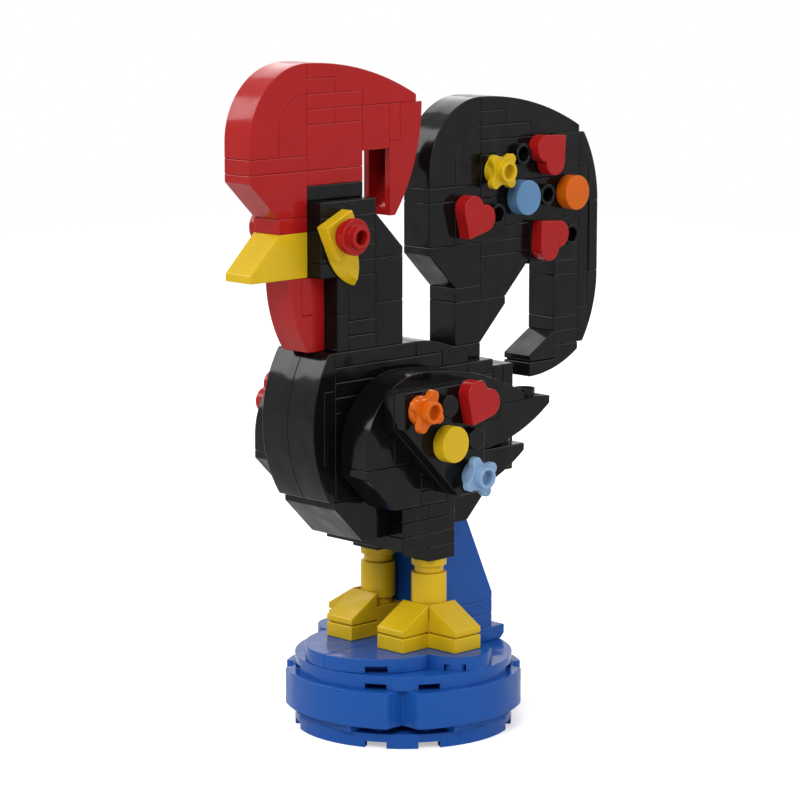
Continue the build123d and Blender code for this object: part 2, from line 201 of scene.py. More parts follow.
def face_outwards(obj):
    """Turn an object's faces outwards."""
    open_whole(obj)
    bpy.ops.mesh.normals_make_consistent(inside=False)
    bpy.ops.object.mode_set(mode="OBJECT")


def cut(obj, *cutters):
    """Take the cutters' room out of an object, and weld the corners that this leaves double."""
    for cutter in cutters:
        pick(obj)
        modifier = obj.modifiers.new("cut", "BOOLEAN")
        modifier.operation = "DIFFERENCE"
        modifier.solver = "EXACT"
        modifier.object = cutter
        bpy.ops.object.modifier_apply(modifier=modifier.name)
        bpy.data.objects.remove(cutter)
    open_whole(obj)
    bpy.ops.mesh.remove_doubles(threshold=weld_distance)
    bpy.ops.object.mode_set(mode="OBJECT")
    return obj


def choose_faces(obj, test):
    """Enter edit mode with only the faces selected that pass a test."""
    pick(obj)
    bpy.ops.object.mode_set(mode="EDIT")
    bpy.ops.mesh.select_mode(type="FACE")
    bpy.ops.mesh.select_all(action="DESELECT")
    bpy.ops.object.mode_set(mode="OBJECT")
    for face in obj.data.polygons:
        face.select = test(face)
    bpy.ops.object.mode_set(mode="EDIT")


# A face is level past this share of its normal, and the faces of an inset's ring have four corners

level_normal = 0.9
ring_corners = 4


def is_top(face):
    """The upper end of a drum or slab, and not the ring that an inset leaves round it."""
    return face.normal.z > level_normal and len(face.vertices) > ring_corners


def is_bottom(face):
    """The lower end of a drum or slab, in the same way."""
    return face.normal.z < -level_normal and len(face.vertices) > ring_corners


def step_face(obj, test, inset, travel):
    """Inset the chosen end face, then push it in or pull it out."""
    choose_faces(obj, test)
    bpy.ops.mesh.inset(thickness=inset)
    bpy.ops.mesh.extrude_region_move(TRANSFORM_OT_translate={"value": (0, 0, travel)})
    bpy.ops.object.mode_set(mode="OBJECT")
    return obj


# Moulds, each made at the origin


def cuboid(size, place=(0, 0, 0)):
    """A square-edged shape of a size along X, Y and Z, its middle at a place."""
    bpy.ops.object.select_all(action="DESELECT")
    bpy.ops.mesh.primitive_cube_add(size=1, location=place, scale=size)
    return settle(bpy.context.object)


def block(x, y, z):
    """A brick between two pitches along X, two along Y and two plates up Z."""
    low = Vector((x[0] * pitch, y[0] * pitch, z[0] * plate))
    high = Vector((x[1] * pitch, y[1] * pitch, z[1] * plate))
    return cuboid(high - low, (low + high) / 2)


def blocks(shares, half_width):
    """Bricks across the middle plane, from rows of x from, x to, z from, z to."""
    return [block((x0, x1), (-half_width, half_width), (z0, z1)) for x0, x1, z0, z1 in shares]


def profile(points, width):
    """A flat outline drawn out to both sides. The outline is in the X and Y of the mould."""
    bpy.ops.object.select_all(action="DESELECT")
    bpy.ops.mesh.primitive_circle_add(vertices=len(points), fill_type="NGON")
    obj = bpy.context.object
    for vertex, point in zip(obj.data.vertices, points):
        vertex.co = (point[0], point[1], -width / 2)
    bpy.ops.object.mode_set(mode="EDIT")
    bpy.ops.mesh.select_all(action="SELECT")
    bpy.ops.mesh.extrude_region_move(TRANSFORM_OT_translate={"value": (0, 0, width)})
    bpy.ops.object.mode_set(mode="OBJECT")
    face_outwards(obj)
    return obj


def slab(points, thickness):
    """A flat outline raised from the ground plane."""
    obj = profile(points, thickness)
    obj.location.z = thickness / 2
    return settle(obj)


def drum(radius, low, high, sides=round_sides):
    """A round slice between two heights."""
    bpy.ops.object.select_all(action="DESELECT")
    middle = (low + high) / 2
    bpy.ops.mesh.primitive_cylinder_add(
        vertices=sides, radius=radius, depth=high - low, location=(0, 0, middle)
    )
    return settle(bpy.context.object)


def falling_arc(start, end):
    """Points of the arc that leaves its start level and falls to its end."""
    run = end[0] - start[0]
    fall = start[1] - end[1]
    radius = (run * run + fall * fall) / (2 * fall)
    sweep = math.asin(run / radius)
    turns = [sweep * count / arc_steps for count in range(arc_steps + 1)]
    return [
        (start[0] + radius * math.sin(turn), start[1] - radius * (1 - math.cos(turn)))
        for turn in turns
    ]


def arc(centre, radius, start, end, steps=arc_steps):
    """Points of a round arc between two angles in degrees."""
    turns = [math.radians(start + (end - start) * count / steps) for count in range(steps + 1)]
    return [(centre[0] + radius * math.cos(t), centre[1] + radius * math.sin(t)) for t in turns]


def polar(reach, degrees):
    """The point at a reach from the mould's middle and an angle from its X."""
    return (reach * math.cos(math.radians(degrees)), reach * math.sin(math.radians(degrees)))


def curved_slope(length, height, steps, width=1, hollow=False):
    """A slope with a curved back, its high end first; steps are the plates left out below."""
    top = height * plate
    far = length * pitch
    outline = falling_arc((0, top), (far, curve_lip)) + [(far, 0), (len(steps) * pitch, 0)]
    for count in reversed(range(len(steps))):
        outline.append(((count + 1) * pitch, steps[count] * plate))
        outline.append((count * pitch, steps[count] * plate))
    body = profile(outline, width * pitch)
    if hollow:
        first = len(steps) * pitch + shell_wall
        last = far - shell_wall
        roof = falling_arc((0, top - shell_wall), (far, curve_lip - shell_wall))
        room = [point for point in roof if first < point[0] < last]
        room = [(first, room[0][1])] + room + [(last, room[-1][1]), (last, -sunk), (first, -sunk)]
        body = cut(body, profile(room, width * pitch - 2 * shell_wall))
    return body


def double_curved_slope():
    """A slope four pitches long that bulges in its middle, open below to clear a plate."""
    far = 4 * pitch
    half = falling_arc((0, 2 * plate), (far / 2, curve_lip))
    back = [(far / 2 - x, y) for x, y in reversed(half)] + [(far / 2 + x, y) for x, y in half[1:]]
    room = [(far - pitch, 0), (far - pitch, plate), (pitch, plate), (pitch, 0)]
    return profile(back + [(far, 0)] + room + [(0, 0)], pitch)


def straight_slope(length, flat, height, width=1):
    """A slope with a level top of flat pitches, then a straight fall to its lip."""
    top = height * plate
    far = length * pitch
    outline = [(0, 0), (0, top), (flat * pitch, top), (far, slope_lip), (far, 0)]
    if flat == 0:
        outline.pop(2)
    return profile(outline, width * pitch)


def grooved_slope():
    """A small slope two plates high, its foot set in a little so that a groove shows below it."""
    outline = [(0, groove_height), (0, 2 * plate), (pitch, slope_lip), (pitch, groove_height)]
    low, high = groove_depth, pitch - groove_depth
    top = groove_height + sunk
    foot = profile([(low, 0), (low, top), (high, top), (high, 0)], high - low)
    return join([profile(outline, pitch), foot])


def grooved_tile(x, z, half_width):
    """A tile on edge, its foot set in a little so that a groove shows beside its plate."""
    foot = x[0] * pitch + groove_height
    body = block((foot / pitch, x[1]), (-half_width, half_width), z)
    narrow = half_width - groove_depth / pitch
    short = groove_depth / plate
    reach = (foot + sunk) / pitch
    return join([body, block((x[0], reach), (-narrow, narrow), (z[0] + short, z[1] - short))])


def quarter_round(crown_x, reach, tall):
    """Points from the left end on the ground, straight up and then round to the crown."""
    spring = tall - reach
    return [(crown_x - reach, 0)] + arc((crown_x, spring), reach, 180, 90)


def arch():
    """A quarter arch two pitches wide and six plates high, its leg first."""
    wide = 2 * pitch
    inner = quarter_round(wide, pitch, 4 * plate)
    return profile(quarter_round(wide, wide, 6 * plate) + inner[::-1], pitch)


def arch_filler():
    """The quarter-round brick that fills an arch."""
    return profile(quarter_round(pitch, pitch, 4 * plate) + [(pitch, 0)], pitch)


def stud(hollow=False):
    """A stud on the ground plane, pointing up, its foot sunk a little to meet its brick."""
    knob = drum(stud_radius, -sunk, stud_height)
    if hollow:
        step_face(knob, is_top, stud_radius - stud_bore_radius, open_stud_floor - stud_height)
    return knob


def raised(obj, height):
    """Lift an object."""
    obj.location.z = height
    return settle(obj)


def turned(obj, degrees):
    """Turn an object about Z through the origin."""
    obj.rotation_euler.z = math.radians(degrees)
    return settle(obj)


def moved(obj, x, y, z):
    """Shift an object by pitches along X and Y and by plates up Z."""
    obj.location = (x * pitch, y * pitch, z * plate)
    return settle(obj)


def round_plate():
    """A round plate with its narrow foot, a bore for the stud below and a hollow stud on top."""
    body = drum(round_radius, round_foot_height, plate)
    foot_bore = round_foot_radius - stud_radius - turning_clearance
    step_face(body, is_bottom, round_radius - round_foot_radius, -round_foot_height)
    step_face(body, is_bottom, foot_bore, stud_height)
    step_face(body, is_top, round_radius - stud_radius, stud_height)
    return step_face(body, is_top, stud_radius - stud_bore_radius, -open_stud_depth)


def round_tile():
    """A round tile with a bore below for its stud."""
    body = drum(round_radius, 0, plate)
    return step_face(body, is_bottom, round_radius - stud_radius - turning_clearance, stud_height)


def flower():
    """A round foot with a bore, four petals round its upper half and a hollow stud on top.

    Each petal's round tip runs smoothly into the round hollow between it and the next one.
    """
    foot = drum(round_foot_radius, 0, round_foot_height + sunk)
    step_face(foot, is_bottom, round_foot_radius - stud_radius - turning_clearance, stud_height)
    spare = flower_waist_radius - petal_radius
    valley_reach = (petal_reach**2 - spare**2) / (math.sqrt(2) * petal_reach - 2 * spare)
    valley_radius = valley_reach - flower_waist_radius
    corner = valley_reach / math.sqrt(2)
    sweep = math.degrees(math.atan2(corner, corner - petal_reach))
    outline = []
    for quarter in quarters:
        petal = polar(petal_reach, quarter)
        outline += arc(petal, petal_radius, quarter - sweep, quarter + sweep, petal_steps)
        valley = polar(valley_reach, quarter + 45)
        first, last = quarter + 180 + sweep, quarter + 270 - sweep
        outline += arc(valley, valley_radius, first, last, petal_steps)[1:-1]
    petals = raised(slab(outline, plate - round_foot_height), round_foot_height)
    return join([petals, foot, raised(stud(hollow=True), plate)])


def stud_bore():
    """The room that a stud takes in an ornament."""
    return drum(stud_radius + turning_clearance, -sunk, stud_height)


def heart():
    """A heart with its tip along X: two sides of a square and a round lobe on each other side."""
    half = heart_side / 2
    centre = heart_tip_reach - heart_side / math.sqrt(2)
    shift = half / math.sqrt(2)
    lower = arc((centre - shift, -shift), half, 315, 135)
    upper = arc((centre - shift, shift), half, 225, 45)
    outline = [(heart_tip_reach, 0)] + lower + upper[1:]
    return cut(slab(outline, plate), stud_bore())


def leaf():
    """The eye's leaf: square round its stud, with a thin blade drawn out along X to a point."""
    half = pitch / 2
    square = slab([(-half, -half), (-half, half), (half, half), (half, -half)], plate)
    edge = falling_arc((half - sunk, half), (half + leaf_tail, 0))
    mirror_edge = [(x, -y) for x, y in reversed(edge[:-1])]
    blade = slab(edge + mirror_edge, blade_edge)
    choose_faces(blade, is_top)
    rise = blade_height - blade_edge
    bpy.ops.mesh.extrude_region_move(TRANSFORM_OT_translate={"value": (0, 0, rise)})
    bpy.ops.transform.resize(value=blade_taper, center_override=(half, 0, blade_height))
    bpy.ops.object.mode_set(mode="OBJECT")
    return join([cut(square, stud_bore()), blade, raised(stud(), plate)])


def with_side_studs(brick, columns, top, half_width):
    """A brick with an open stud on both sides at each column, a set drop below its top."""
    pieces = [brick]
    for column in columns:
        place = Vector((column * pitch, -half_width * pitch, top * plate - side_stud_drop))
        ring = drum(stud_radius, -sunk, stud_height)
        ring = cut(ring, drum(stud_bore_radius, -2 * sunk, stud_height + sunk))
        bore = lay(drum(side_bore_radius, -side_bore_depth, sunk), place, right, up)
        ring = lay(ring, place, right, up)
        cut(brick, mirrored(bore), bore)
        pieces += [ring, mirrored(ring)]
    return pieces


# Plastics, glossy and nearly plain: noise scales are counts per metre

refraction = 1.53
sheen = 0.14
tone_depth = 0.14
wave_scale = 210
wave_height = 0.22 * millimetre
cloud_scale = 110
cloud_detail = 3
cloud_span = (0.3, 0.7)
scuff_scale = 260
scuff_detail = 5
scuff_stretch = (1, 9, 3)
scuff_span = (0.35, 0.75)
scuff_roughness = 0.07
grain_scale = 5200
grain_detail = 2
grain_height = 0.0012 * millimetre


def plastic(name, colour, roughness, clouding):
    """A moulded plastic with faint waves and grain in its face, clouds in its colour and scuffs.

    Each moulding's own tone, and the clouds, shift its colour a little darker or paler.
    """
    made = bpy.data.materials.new(name)
    made.use_nodes = True
    nodes = made.node_tree.nodes
    links = made.node_tree.links
    shader = nodes["Principled BSDF"]
    shader.inputs["IOR"].default_value = refraction
    shader.inputs["Specular IOR Level"].default_value = sheen
    place = nodes.new("ShaderNodeTexCoord")

    def noise(scale, detail, stretch=(1, 1, 1)):
        mapping = nodes.new("ShaderNodeMapping")
        mapping.inputs["Scale"].default_value = stretch
        links.new(place.outputs["Object"], mapping.inputs["Vector"])
        texture = nodes.new("ShaderNodeTexNoise")
        texture.inputs["Scale"].default_value = scale
        texture.inputs["Detail"].default_value = detail
        links.new(mapping.outputs["Vector"], texture.inputs["Vector"])
        return texture.outputs["Fac"]

    def ramp(value, span, low, high):
        node = nodes.new("ShaderNodeMapRange")
        node.inputs["From Min"].default_value = span[0]
        node.inputs["From Max"].default_value = span[1]
        node.inputs["To Min"].default_value = low
        node.inputs["To Max"].default_value = high
        links.new(value, node.inputs["Value"])
        return node.outputs["Result"]

    def bump(height, distance, before=None):
        node = nodes.new("ShaderNodeBump")
        node.inputs["Distance"].default_value = distance
        links.new(height, node.inputs["Height"])
        if before:
            links.new(before, node.inputs["Normal"])
        return node.outputs["Normal"]

    moulding_tone = nodes.new("ShaderNodeAttribute")
    moulding_tone.attribute_name = "tone"
    wave = noise(wave_scale, 0)
    cloud = noise(cloud_scale, cloud_detail)
    scuff = noise(scuff_scale, scuff_detail, scuff_stretch)
    grain = noise(grain_scale, grain_detail)
    tone = nodes.new("ShaderNodeMath")
    tone.operation = "ADD"
    links.new(moulding_tone.outputs["Fac"], tone.inputs[0])
    links.new(ramp(cloud, cloud_span, -clouding, clouding), tone.inputs[1])
    shade = nodes.new("ShaderNodeMix")
    shade.data_type = "RGBA"
    shade.inputs["A"].default_value = [*(c * (1 - tone_depth) for c in colour), 1]
    shade.inputs["B"].default_value = [*(c * (1 + tone_depth) for c in colour), 1]
    links.new(tone.outputs["Value"], shade.inputs["Factor"])
    links.new(shade.outputs["Result"], shader.inputs["Base Color"])
    rough = ramp(scuff, scuff_span, roughness, roughness + scuff_roughness)
    links.new(rough, shader.inputs["Roughness"])
    waves = bump(wave, wave_height)
    links.new(bump(grain, grain_height, waves), shader.inputs["Normal"])
    return made


plastics = {
    "black": plastic("black_plastic", (0.004, 0.004, 0.004), 0.10, 0.10),
    "red": plastic("red_plastic", (0.35, 0.009, 0.009), 0.12, 0.10),
    "yellow": plastic("yellow_plastic", (0.61, 0.40, 0.010), 0.14, 0.08),
    "blue": plastic("blue_plastic", (0.0095, 0.077, 0.33), 0.12, 0.08),
    "orange": plastic("orange_plastic", (0.59, 0.11, 0.004), 0.13, 0.08),
    "light_blue": plastic("light_blue_plastic", (0.10, 0.217, 0.387), 0.13, 0.08),
    "pale_blue": plastic("pale_blue_plastic", (0.21, 0.335, 0.52), 0.13, 0.08),
}

# The paler of the two blues is the lower wing flowers' colour

# Mouldings, each with a tone of its own, and the nodes that they stand for

tones = itertools.cycle((0.5, 0.42, 0.58, 0.47, 0.54, 0.45, 0.56))


def toned(obj):
    """Give one moulding its own slight tone."""
    layer = obj.data.attributes.new("tone", "FLOAT", "POINT")
    layer.data.foreach_set("value", [next(tones)] * len(obj.data.vertices))
    return obj


def rounded(obj):
    """Round one moulding's edges."""
    pick(obj)
    bpy.ops.object.shade_smooth()
    rounding = obj.modifiers.new("rounded edges", "BEVEL")
    rounding.width = edge_round
    rounding.segments = edge_steps
    rounding.limit_method = "ANGLE"
    rounding.angle_limit = edge_angle
    rounding.use_clamp_overlap = True
    rounding.harden_normals = True
    bpy.ops.object.modifier_apply(modifier=rounding.name)
    return obj


def build(node, colour, mouldings, body="root"):
    """Round a node's mouldings, join and colour them, and let them stand for the node."""
    piece = join([rounded(toned(moulding)) for moulding in mouldings])
    piece.name = node + "_bricks"
    piece.data.name = piece.name
    weighting = piece.modifiers.new("flat faces", "WEIGHTED_NORMAL")
    weighting.keep_sharp = True
    bpy.ops.object.modifier_apply(modifier=weighting.name)
    piece.data.materials.clear()
    piece.data.materials.append(plastics[colour])
    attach(piece, body)
    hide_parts(node)


def build_pair(node, colour, mouldings):
    """Build a node from mouldings of the near side and their mirror images."""
    build(node, colour, mouldings + [mirrored(moulding) for moulding in mouldings])


# Round base

rim_notch_shares = [(2.5, 1.5), (2.5, -1.5), (-2.5, 1.5), (-2.5, -1.5)]
rim_notch_size = (2 * rim_wall + pitch, rim_notch_width, 2 * rim_notch_height)


def notched_round_plate(level):
    """A round plate on a level, with notches under its rim beside the outermost studs."""
    body = raised(drum(base_radius, 0, plate, base_sides), level * plate)
    for far, side in rim_notch_shares:
        for x, y in ((far, side), (side, far)):
            outwards = math.degrees(math.atan2(y, x))
            cut(body, moved(turned(cuboid(rim_notch_size), outwards), x, y, level))
    return body


def base_underside(body):
    """The hollow under the bottom plate, with its four tubes and middle post."""
    depth = plate - base_roof
    cut(body, drum(base_radius - rim_wall, -sunk, depth, base_sides))
    tubes = [drum(stud_radius, 0, depth + sunk)]
    for x, y in ((-1, -1), (-1, 1), (1, -1), (1, 1)):
        tube = drum(tube_radius, 0, depth + sunk)
        step_face(tube, is_bottom, tube_radius - stud_radius, depth)
        tubes.append(moved(tube, x, y, 0))
    return join([body] + tubes)


build("base_bottom_plate", "blue", [base_underside(notched_round_plate(0))])

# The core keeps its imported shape, and a dark slot is left under each of its corners

core_reach_share = 2.4
core_corner_share = 1.5
core_level = 1


def core_corner(side_x, side_y):
    """The room of the slot under a corner of the core, half of it below the core."""
    corner = cuboid((base_radius / 2, base_radius / 2, 2 * bracket_thickness))
    reach = core_corner_share + base_radius / (4 * pitch)
    return moved(corner, side_x * reach, side_y * reach, core_level)


core = copied(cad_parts["base_core"])
open_whole(core)
bpy.ops.mesh.remove_doubles(threshold=weld_distance)
bpy.ops.mesh.dissolve_limited(angle_limit=flat_angle)
bpy.ops.object.mode_set(mode="OBJECT")
for side_x, side_y in ((-1, -1), (-1, 1), (1, -1), (1, 1)):
    cut(core, core_corner(side_x, side_y))
build("base_core", "blue", [core])

walls = []
wall_place = Vector((core_reach_share * pitch, 2 * pitch, plate + bracket_thickness + pitch / 2))
for quarter in quarters:
    walls.append(turned(lay(double_curved_slope(), wall_place, near, right), quarter))
build("base_panels", "blue", walls)

step_level = 5
rim_stud_shares = [(-0.5, -2.5), (0.5, -2.5), (-0.5, 2.5), (0.5, 2.5)]
upper_plate = [notched_round_plate(4)]
for stud_x, stud_y in rim_stud_shares:
    upper_plate.append(stand(stud(), stud_x, step_level, right, away, y=stud_y))
build("base_top_plate", "blue", [join(upper_plate)])

# Step on the base: two quarter-round plates, two round-ended plates in halves, and a long plate

slot_turn = 45
quarter_slot_shares = (-2.5, -1.5)
lobe_slot_shares = (0.8, -2.8)
lobe_stud_shares = (0.5, -2.5)


def step_slot(x, y, turn):
    """The room of a slot under a rim of the step, running outwards from a stud."""
    slot = turned(cuboid((pitch, rim_notch_width, 2 * step_notch_height)), turn)
    return moved(slot, x, y, step_level)


def quarter_plate():
    """The quarter-round plate on the near side, at the front."""
    outline = [(-pitch, 0)] + arc((-pitch, 0), 2 * pitch, 180, 270)
    body = moved(slab(outline, plate), 0, 0, step_level)
    return cut(body, step_slot(*quarter_slot_shares, slot_turn))


def lobe(side):
    """One half of the round-ended plate on the near side, at the front where side is -1."""
    rim = arc((0, -2 * pitch), pitch, 270, 270 + side * 90)
    outline = [(0, -pitch)] + rim + [(side * pitch, -pitch)]
    body = moved(slab(outline, plate), 0, 0, step_level)
    stud_x, stud_y = lobe_stud_shares
    stud_room = moved(stud_bore(), side * stud_x, stud_y, step_level)
    slot_x, slot_y = lobe_slot_shares
    return cut(body, stud_room, step_slot(side * slot_x, slot_y, -side * slot_turn))


def long_plate():
    """The plate across the middle, its rear end chamfered where it hangs past the base."""
    far = 3 * pitch
    outline = [(-pitch, 0), (-pitch, plate), (far, plate)]
    outline += [(far, overhang_chamfer), (far - overhang_chamfer, 0)]
    return stand(profile(outline, 2 * pitch), 0, step_level, right, up)


step_pieces = [quarter_plate(), lobe(-1), lobe(1)]
step_pieces += [mirrored(piece) for piece in step_pieces]
build("step_plates", "blue", step_pieces + [long_plate()])

rear_support_shares = [(0.5, 2.5, 6, 7), (0.5, 2.5, 7, 8)]
steep_slope = stand(straight_slope(2, 1, 6, 2), 0.5, 8, right, up)
build("rear_support", "blue", blocks(rear_support_shares, two_wide) + [steep_slope])

# Feet and legs

foot_level = 6
foot_corner_shares = [
    (-1.5, -1.5),
    (-1.5, -0.5),
    (0.5, -0.5),
    (0.5, -2.5),
    (-0.5, -2.5),
    (-0.5, -1.5),
]
foot_outline = [(x * pitch, y * pitch) for x, y in foot_corner_shares]
foot_plate = moved(slab(foot_outline, plate), 0, 0, foot_level)
ankle_plate = block((-0.5, 0.5), (-1.5, -0.5), (7, 8))
build_pair("foot_plates", "yellow", [foot_plate, ankle_plate])

toes = [
    stand(grooved_slope(), -0.5, 7, left, up, y=-1),
    stand(grooved_slope(), 0, 7, near, up, y=-1.5),
]
build_pair("toe_slopes", "yellow", toes)


def leg_round(low, high):
    """A round brick or plate of the leg, with its narrow foot."""
    body = drum(round_radius, round_foot_height, (high - low) * plate)
    step_face(body, is_bottom, round_radius - round_foot_radius, -round_foot_height)
    return stand(body, 0, low, right, away, y=-1)


build_pair("leg_rounds", "yellow", [leg_round(8, 11), leg_round(11, 12)])

# Belly

wide_belly_shares = [
    (-1.5, 0.5, 13, 14),
    (-1.5, 0.5, 14, 15),
    (-1.5, -0.5, 15, 16),
    (-0.5, 0.5, 15, 16),
]
top_belly_shares = [(-1.5, 0.5, 16, 17)]
thigh_plate = block((-0.5, 0.5), (-1.5, -0.5), (12, 13))
belly = [thigh_plate, mirrored(thigh_plate)]
belly += blocks(wide_belly_shares, three_wide) + blocks(top_belly_shares, two_wide)
build("belly_plates", "black", belly)

front_belly_slope = stand(straight_slope(2, 1, 3, 2), -1.5, 17, left, down)
rear_belly_slope = stand(straight_slope(2, 1, 3, 2), 0.5, 17, right, down)
build("belly_slopes", "black", [front_belly_slope, rear_belly_slope])

# Body

body_brick_shares = [
    (-3.5, 0.5, 17, 20),
    (0.5, 2.5, 17, 20),
    (-3.5, -1.5, 20, 23),
    (-1.5, 2.5, 20, 23),
]
build("body_bricks", "black", blocks(body_brick_shares, two_wide))

back_plate_shares = [
    (-3.5, -1.5, 23, 24),
    (0.5, 2.5, 23, 24),
    (-3.5, 1.5, 24, 25),
    (1.5, 2.5, 24, 25),
    (-3.5, 0.5, 25, 26),
    (-3.5, -0.5, 26, 27),
]
build("back_plates", "black", blocks(back_plate_shares, two_wide))
build("back_curved_slope", "black", [stand(curved_slope(2, 2, (1,), 2), -0.5, 25, right, up)])

side_plate_shares = [(-3.9, -3.5, 19.5, 24.5), (2.5, 2.9, 17, 24.5), (2.9, 3.3, 17, 24.5)]
build("body_side_plates", "black", blocks(side_plate_shares, two_wide))

chest = [stand(double_curved_slope(), -3.5, 17, up, left, y=side) for side in (-0.5, 0.5)]
build("chest_curved_slopes", "black", chest)

# Neck

neck_brick_shares = [(-3, -2, 29, 32), (-2, -1, 30, 33), (-2, -1, 27, 30)]
eye_stud_column = -3.5
eye_brick_top = 36
eye_brick = block((-4, -3), (-two_wide, two_wide), (33, eye_brick_top))
eye_brick = with_side_studs(eye_brick, [eye_stud_column], eye_brick_top, two_wide)
nape_slope = stand(straight_slope(1, 0, 3, 2), -2, 33, right, up)
build("neck_bricks", "black", blocks(neck_brick_shares, two_wide) + eye_brick + [nape_slope])

neck_plate_shares = [
    (-4, -3, 36, 37),
    (-3, -2, 36, 37),
    (-4, -3, 32, 33),
    (-3, -2, 35, 36),
    (-3, -2, 34, 35),
    (-3, -2, 33, 34),
    (-3, -2, 32, 33),
    (-3, -2, 28, 29),
    (-3, -2, 27, 28),
    (-3.4, -3, 27, 29.5),
    (-3.4, -3, 29.5, 32),
]
crown_plate_shares = [(-4, -2, 37, 38)]
neck_plates = blocks(neck_plate_shares, two_wide) + blocks(crown_plate_shares, one_wide)
build("neck_plates", "black", neck_plates)

# Wattle and beak

wattle_plate_shares = [(-3.8, -3.4, 27, 32), (-4.2, -3.8, 29.5, 32)]
wattle_slope = stand(curved_slope(2, 2, (1,)), -3.8, 32, down, left)
build("wattle", "red", blocks(wattle_plate_shares, one_wide) + [wattle_slope])
build("beak", "yellow", [stand(straight_slope(2, 1, 3), -4, 32, left, up)])

# Comb

comb_block_shares = [
    (-5, -4, 35, 36),
    (-6, -4, 39, 40),
    (-4, -2, 38, 39),
    (-4, -2, 39, 42),
    (-4, -3, 42, 43),
    (-3, -2, 42, 43),
    (-4, -2, 43, 44),
    (-4, -3, 44, 45),
    (-2, -1, 40, 43),
    (-1, -0.6, 40.5, 43),
]
build("comb_bricks", "red", blocks(comb_block_shares, one_wide))
build("comb_inverted_slope", "red", [stand(straight_slope(2, 1, 3), -4, 39, left, down)])
comb_arch = [stand(arch(), -6, 40, right, up), stand(arch_filler(), -5, 40, right, up)]
build("comb_arch", "red", comb_arch)

comb_crest = stand(curved_slope(4, 3, (2, 1)), -4, 43, right, up)
comb_tail = stand(curved_slope(3, 3, (1,), hollow=True), -1, 43, down, right)
build("comb_curved_slopes", "red", [comb_crest, comb_tail])

# Tail

tail_plain_brick_shares = [(0.5, 1.5, 33, 36), (5.5, 6.5, 37, 40), (5.5, 6.5, 27, 30)]
tail_stud_brick_shares = [
    (3.5, 5.5, 37, 40),
    (2.5, 3.5, 36, 39),
    (3.5, 6.5, 34, 37),
    (1.5, 3.5, 33, 36),
    (4.5, 6.5, 31, 34),
]
tail_bricks = blocks(tail_plain_brick_shares, one_wide)
for front, rear, low, top in tail_stud_brick_shares:
    brick = block((front, rear), (-one_wide, one_wide), (low, top))
    columns = [front + 0.5 + count for count in range(int(rear - front))]
    tail_bricks += with_side_studs(brick, columns, top, one_wide)
build("tail_bricks", "black", tail_bricks)

tail_plate_shares = [
    (1.5, 2.5, 25, 26),
    (1.5, 2.5, 29, 30),
    (2.5, 4.5, 32, 33),
    (3.5, 4.5, 33, 34),
    (0.5, 2.5, 36, 37),
    (2.5, 3.5, 39, 40),
    (2.5, 4.5, 40, 41),
    (2.5, 3.5, 41, 42),
    (5.5, 6.5, 30, 31),
    (5.5, 6.5, 26, 27),
    (5.5, 6.5, 25, 26),
]
build("tail_plates", "black", blocks(tail_plate_shares, one_wide))

tail_inverted_slopes = [
    stand(straight_slope(2, 1, 3), 1.5, 29, right, down),
    stand(straight_slope(2, 1, 3), 2.5, 32, right, down),
    stand(straight_slope(2, 1, 3), 2.5, 33, left, down),
]
build("tail_inverted_slopes", "black", tail_inverted_slopes)
tail_arch = [stand(arch(), 0.5, 37, right, up), stand(arch_filler(), 1.5, 37, right, up)]
build("tail_arch", "black", tail_arch)

tail_side_plate_shares = [(6.5, 6.9, 27.5, 37.5)]
tail_side_tile = grooved_tile((6.9, 7.3), (30, 35), one_wide)
build("tail_side_plates", "black", blocks(tail_side_plate_shares, one_wide) + [tail_side_tile])

tail_slopes = [
    stand(curved_slope(4, 3, (2, 1)), 2.5, 40, right, up),
    stand(curved_slope(2, 2, (1,)), 6.5, 35, up, right),
    stand(curved_slope(2, 2, (1,)), 6.5, 30, down, right),
    stand(curved_slope(2, 2, (1,)), 4.5, 25, right, down),
    stand(grooved_slope(), 5.5, 24, left, up),
]
build("tail_curved_slopes", "black", tail_slopes)

# Wings, built in a grid of their own that the bracket sets off from the body's

wing_inner = -1 - bracket_thickness / pitch
wing_middle = wing_inner - one_wide
wing_outer = wing_inner - two_wide
wing_offset_share = -0.5


def wing_block(x0, x1, z0, z1):
    """A brick of the near wing, its heights counted in the wing's own grid."""
    levels = (z0 + wing_offset_share, z1 + wing_offset_share)
    return block((x0, x1), (wing_outer, wing_inner), levels)


def wing_stand(obj, x, z, along, upward):
    """Lay a mould in the near wing, its height counted in the wing's own grid."""
    return stand(obj, x, z + wing_offset_share, along, upward, y=wing_middle)


wing_arch = wing_stand(arch(), -3.5, 20, right, up)
build_pair("wing_arches", "black", [wing_arch, wing_stand(arch_filler(), -2.5, 20, right, up)])
wing_crest = wing_stand(curved_slope(4, 3, (2, 1)), -1.5, 23, right, up)
build_pair("wing_curved_slopes", "black", [wing_crest])

wing_block_shares = [
    (-1.5, 0.5, 20, 22),
    (-1.5, 1.5, 22, 23),
    (-1.5, 0.5, 23, 24),
    (-1.5, -0.5, 24, 25),
    (-1.5, -0.5, 17, 18),
    (-1.5, -0.5, 18, 19),
    (-1.5, 0.5, 19, 20),
]
wing_slope = wing_stand(straight_slope(2, 1, 3), -1.5, 20, left, down)
build_pair("wing_bricks", "black", [wing_block(*row) for row in wing_block_shares] + [wing_slope])

# Feathers: long slopes turned over, each with a stud near its tip

feather_stud_share = 2.5
upper_feather_shares = (0.5, 23)
lower_feather_shares = (-0.5, 20)


def feather(x, top):
    """A feather and its stud, in two pieces."""
    slope = wing_stand(curved_slope(3, 3, (1,)), x, top, right, down)
    return [slope, wing_stand(stud(), x + feather_stud_share, top, right, away)]


